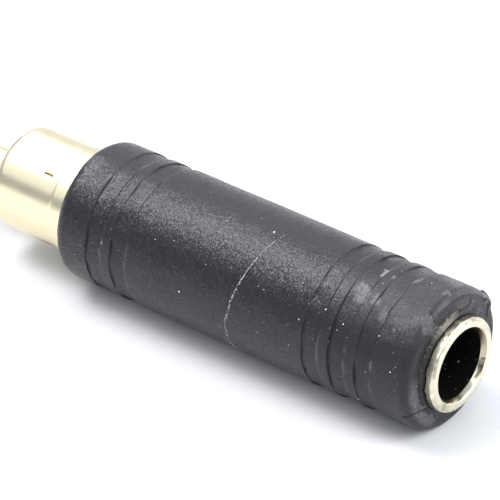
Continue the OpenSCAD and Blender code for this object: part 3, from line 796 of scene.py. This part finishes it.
def scratch():
    """Raised burr of a long scratch: a flat thin tube on the barrel along a smooth curve, thinner where it
    fades, which parts into two broken strands lower down."""
    known = np.array(SCRATCH)
    angle = np.linspace(known[0, 1], known[-1, 1], 420)
    depth = np.interp(angle, known[:, 1], known[:, 0])
    kernel = np.hanning(41) / np.hanning(41).sum()
    depth = np.convolve(np.pad(depth, 20, mode="edge"), kernel, mode="valid")
    normal = place(0 * angle + MOUTH_X, 1.0, angle) - place(0 * angle + MOUTH_X, 0.0, angle)
    normal /= np.linalg.norm(normal, axis=1)[:, None]
    low = smooth(132, 158, angle)
    for name, side, seed, begin in STRANDS:
        middle = place(depth + side * 0.055 * low, GRIP_R - 0.025, angle)
        size = 0.015 - 0.005 * low + (0.002 + 0.007 * low) * ripple(middle, 0.35, seed)
        size = np.clip(size * smooth(begin, begin + 12, angle), 0.001, 0.030) * MM
        middle = middle + np.stack([0.014 * MM * ripple(middle, 0.7, 12), 0 * angle, 0 * angle], axis=-1)
        ride(tube(name, middle, size, normal, 6, 0.5), "grip_pvc", finish=LINT)


def foot_flash():
    """Ragged skin of plastic that climbs the side of the ring: a closed section, as (share of the climb,
    height over the ring), stretched towards the mouth by a climb that changes with the angle and with two
    ripples."""
    angle = np.linspace(-90, 270, 560, endpoint=False)[None, :]
    shape = np.array([(0.0, 0.50), (0.12, 0.28), (0.35, 0.16), (0.70, 0.10), (0.93, 0.06), (1.0, 0.03),
                      (0.97, 0.004), (0.6, 0.004), (0.2, 0.004), (-0.3, 0.004), (-0.3, 0.46)])
    up, out = shape[:, 0:1], shape[:, 1:2]
    depth = GRIP_FRONT + 0.01 - np.where(up > 0, crust_climb(angle) * up, 0.3 * up)
    radius = RING_R + out * (1 + 0.22 * ripple(place(GRIP_FRONT, CRUST_R, angle), 0.5, 23))
    points = place(depth, radius, angle)
    piece = build("foot_flash", points.reshape(-1, 3), loop_faces(*points.shape[:2]),
                  loop_outline(np.linspace(0, 1.2, len(shape)), angle[0], CRUST_R))
    # Painted shade along the flash's climbing edge, in the gap against the ring
    mark(piece, "grime", smooth(0.3, 0.9, up) * (1 - 0.9 * near(turned(angle, RESIDUE_AND_REFLECTION_AT), 0, 17)))
    # Pale tan on the crust at the top: partly residue, partly a painted reflection of the gold ring
    mark(piece, "residue", near(turned(angle, RESIDUE_AND_REFLECTION_AT), 0, 17) + 0 * up)
    ride(piece, "grip_pvc")


# The brightest specks as [depth, angle, size]
SPECKS = [(19.2, 102, 0.13), (12.8, 158, 0.11), (25.6, 178, 0.12), (2.9, 167, 0.10), (27.3, 141, 0.08),
          (17.0, 148, 0.08), (34.6, 166, 0.09), (3.8, 86, 0.08), (4.9, 145, 0.09), (9.0, 154, 0.09),
          (28.6, 196, 0.09), (10.6, 143, 0.08)]


def grains(name, finish, depth, radius, angle, size, seed):
    """Bent twelve-cornered grains, somewhat flat, at the given places on a round surface. None of them
    reaches past the grip's own box or into the table."""
    rng = np.random.default_rng(seed)
    golden = (1 + math.sqrt(5)) / 2
    ico = np.array([(s, t * golden, 0) for s in (-1, 1) for t in (-1, 1)])
    ico = np.vstack([ico, np.roll(ico, 1, axis=1), np.roll(ico, 2, axis=1)]) / math.sqrt(1 + golden ** 2)
    apart = np.linalg.norm(ico[:, None] - ico[None], axis=-1)
    edge = np.isclose(apart, apart[apart > 0.1].min(), rtol=0.01)
    faces = np.array([(a, b, c) for a in range(12) for b in range(a + 1, 12) for c in range(b + 1, 12)
                      if edge[a, b] and edge[b, c] and edge[a, c]])
    a, b, c = ico[faces[:, 0]], ico[faces[:, 1]], ico[faces[:, 2]]
    inward = np.einsum("ij,ij->i", np.cross(b - a, c - a), a) < 0
    faces[inward] = faces[inward][:, ::-1]
    corners = ico[None] * (1 + 0.35 * rng.normal(size=(len(size), 12, 1))).clip(0.4, 1.7)
    corners = corners * rng.uniform(0.7, 1.5, (len(size), 1, 3)) * size[:, None, None] * MM
    turn = np.radians(angle)
    out = np.stack([0 * turn, np.cos(turn), np.sin(turn)], axis=-1)
    across = np.stack([0 * turn, -np.sin(turn), np.cos(turn)], axis=-1)
    along = np.tile([1.0, 0.0, 0.0], (len(turn), 1))
    points = (place(depth, radius, angle)[:, None] + corners[..., 0:1] * along[:, None]
              + corners[..., 1:2] * across[:, None] + 0.6 * corners[..., 2:3] * out[:, None])
    reach = (HULL_R - 0.01) * MM
    points[..., 1] = np.clip(points[..., 1], -reach, reach)
    points[..., 2] = np.clip(points[..., 2], 0.02 * MM, HULL_R * MM + reach)
    every = (faces[None] + 12 * np.arange(len(size))[:, None, None]).reshape(-1, 3)
    ride(build(name, points.reshape(-1, 3), every), "grip_pvc", finish=finish)


def dust():
    """The brightest specks, and dust scattered at random: on the barrel, more of it low on the side towards
    the camera, on the front and in the mouth of the bore."""
    rng = np.random.default_rng(31)
    known = np.array(SPECKS)
    loose, front, deep = 340, 40, 26
    depth = np.concatenate([known[:, 0], 2.2 + 37.2 * rng.random(loose) ** 1.4,
                            np.full(front, GRIP_FRONT + 0.02), rng.uniform(0.7, 6.0, deep)])
    around = np.where(rng.random(loose) < 0.35, rng.uniform(135, 212, loose), rng.uniform(-60, 240, loose))
    angle = np.concatenate([known[:, 1], around, rng.uniform(50, 250, front), rng.uniform(-85, 70, deep)])
    size = np.concatenate([known[:, 2] * 0.62, 0.014 + 0.032 * rng.random(loose) ** 4,
                           0.014 + 0.024 * rng.random(front) ** 2, rng.uniform(0.015, 0.04, deep)])
    in_groove = sum((depth > at) & (depth < at + GROOVE_W) for at in GROOVES) > 0
    radius = GRIP_R - SKIN_SINK - 0.75 * GROOVE_DEPTH * in_groove
    radius[-front - deep:-deep] = rng.uniform(4.5, 5.5, front)
    radius[-deep:] = BORE_R
    grains("dust_grains", LINT, depth, radius, angle, size, 32)


def crumbs():
    """Crumbs of plastic round the foot of the ring, most of them on the side where the flash climbs."""
    rng = np.random.default_rng(51)
    count = 90
    angle = np.where(rng.random(count) < 0.7, rng.normal(190, 24, count), rng.uniform(60, 250, count))
    radius = CRUST_R + 0.35 * rng.random(count) ** 2
    depth = GRIP_FRONT - 0.03 - 0.25 * rng.random(count) * (radius < 4.45)
    grains("foot_crumbs", FINISHES["grip_pvc"], depth, radius, angle, rng.uniform(0.02, 0.055, count), 52)


grip()
bushing()
shell()
scratch()
foot_flash()
crumbs()
dust()


# Table and light

def table():
    """A large pale sheet under the adapter, with faint clouds in its tone."""
    size = 4.0  # half its width, in metres
    points = np.array([(-size, -size, 0), (size, -size, 0), (size, size, 0), (-size, size, 0)], float)
    mesh = bpy.data.meshes.new("table")
    mesh.from_pydata(points.tolist(), [], [(0, 1, 2, 3)])
    sheet = bpy.data.objects.new("table", mesh)
    bpy.context.collection.objects.link(sheet)
    f = Finish("table_sheet", Roughness=0.6)
    sheet.data.materials.append(f.feed(Base_Color=f.mix(f.noise(0.02, 2.0), rgb(0.58, 0.582, 0.592),
                                                        rgb(0.595, 0.597, 0.607))))


def softbox(name, direction, distance, width, height, radiance, tint=(1.0, 1.0, 1.0)):
    """An area light that faces the adapter, with the power that gives its surface the radiance asked for."""
    light = bpy.data.lights.new(name, "AREA")
    light.shape, light.size, light.size_y = "RECTANGLE", width, height
    light.energy = radiance * math.pi * width * height
    light.color = tint
    holder = bpy.data.objects.new(name, light)
    bpy.context.collection.objects.link(holder)
    way = Vector(direction).normalized()
    holder.location = way * distance
    holder.rotation_euler = way.to_track_quat("Z", "Y").to_euler()
    holder.visible_camera = False


table()

# Direction from the adapter, distance, width and height in metres, radiance and tint of each light
softbox("softbox_above", (-0.38, -0.15, 0.87), 0.75, 0.50, 0.52, 4.7, (1.0, 0.96, 0.985))
softbox("softbox_middle", (-0.45, -0.19, 0.86), 0.74, 0.28, 0.28, 11.4, (1.0, 0.96, 0.985))
softbox("fill", (0.45, -0.55, 0.72), 1.2, 1.4, 0.8, 1.8, (0.98, 1.0, 1.03))
softbox("softbox_left", (-0.70, -0.42, 0.62), 1.2, 1.8, 0.75, 0.75, (0.98, 1.0, 1.03))
softbox("window", (0.72, 0.36, 0.60), 1.3, 1.2, 0.9, 6.7, (0.985, 1.0, 1.02))
softbox("softbox_back", (-0.53, 0.49, 0.69), 1.1, 0.9, 0.5, 1.7)
softbox("backdrop", (-0.25, 0.95, 0.33), 1.1, 2.2, 1.1, 0.54)

world = bpy.data.worlds.new("studio")
world.use_nodes = True
world.node_tree.nodes["Background"].inputs["Color"].default_value = rgb(0.465, 0.495, 0.555)
bpy.context.scene.world = world
bpy.context.scene.view_settings.view_transform = "Standard"
